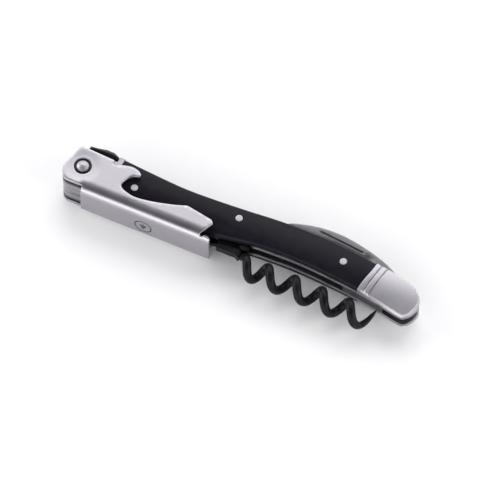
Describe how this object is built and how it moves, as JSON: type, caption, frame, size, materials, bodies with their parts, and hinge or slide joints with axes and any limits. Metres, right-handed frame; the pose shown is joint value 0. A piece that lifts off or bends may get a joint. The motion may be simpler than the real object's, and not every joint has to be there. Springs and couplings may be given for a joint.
{
  "type": "waiters corkscrew",
  "caption": "Folding waiter's corkscrew with a stamped steel lever and cap lifter, black scales, a coated worm and a foil blade on hinge pins.",
  "frame": {"origin": "bottom centre of the folded tool's box, on the surface that its back face lies on", "axes": "+X towards the tail bolster, +Y towards the back edge and the blade's spine, +Z out of the front face"},
  "size_m": [0.1253, 0.0291, 0.0154],
  "materials": {
    "lever_steel": "satin, fine brushing along the lever",
    "bolster_steel": "fine satin, brighter edges",
    "liner_steel": "ground edges, satin",
    "spring_steel": "dark satin steel",
    "scale_black": "black, polished, faint blue tint",
    "pin_steel": "polished flush",
    "washer_brass": "bare brass",
    "worm_coating": "black non-stick coating, satin",
    "blade_steel": "satin ground, brighter ricasso"
  },
  "bodies": {
    "handle": {"front_liner": "liner_steel", "back_liner": "liner_steel", "front_scale": "scale_black", "back_scale": "scale_black", "front_head_bolster": "bolster_steel", "back_head_bolster": "bolster_steel", "front_tail_bolster": "bolster_steel", "back_tail_bolster": "bolster_steel", "back_spring": "spring_steel", "thumb_rest": "spring_steel", "scale_pins": "pin_steel", "bolster_rivets": "pin_steel", "lever_pivot_pin": "pin_steel", "front_pivot_bush": "pin_steel", "back_pivot_bush": "pin_steel", "front_friction_washer": "spring_steel", "back_friction_washer": "spring_steel", "worm_pivot_pin": "pin_steel", "blade_pivot_pin": "pin_steel", "blade_washers": "washer_brass"},
    "lever": {"lever": "lever_steel"},
    "worm": {"worm_tang": "worm_coating", "worm": "worm_coating"},
    "blade": {"blade": "blade_steel"}
  },
  "joints": [
    {"name": "lever_pivot", "type": "hinge", "parent": "handle", "child": "lever", "pos_m": [-0.0568, 0, 0.0073], "axis": [0, 0, -1], "range_deg": [0, 180]},
    {"name": "worm_pivot", "type": "hinge", "parent": "handle", "child": "worm", "pos_m": [0.0025, -0.0034, 0.0073], "axis": [0, 0, -1], "range_deg": [0, 90]},
    {"name": "blade_pivot", "type": "hinge", "parent": "handle", "child": "blade", "pos_m": [0.0502, 0.0025, 0.0073], "axis": [0, 0, -1], "range_deg": [0, 180]}
  ]
}
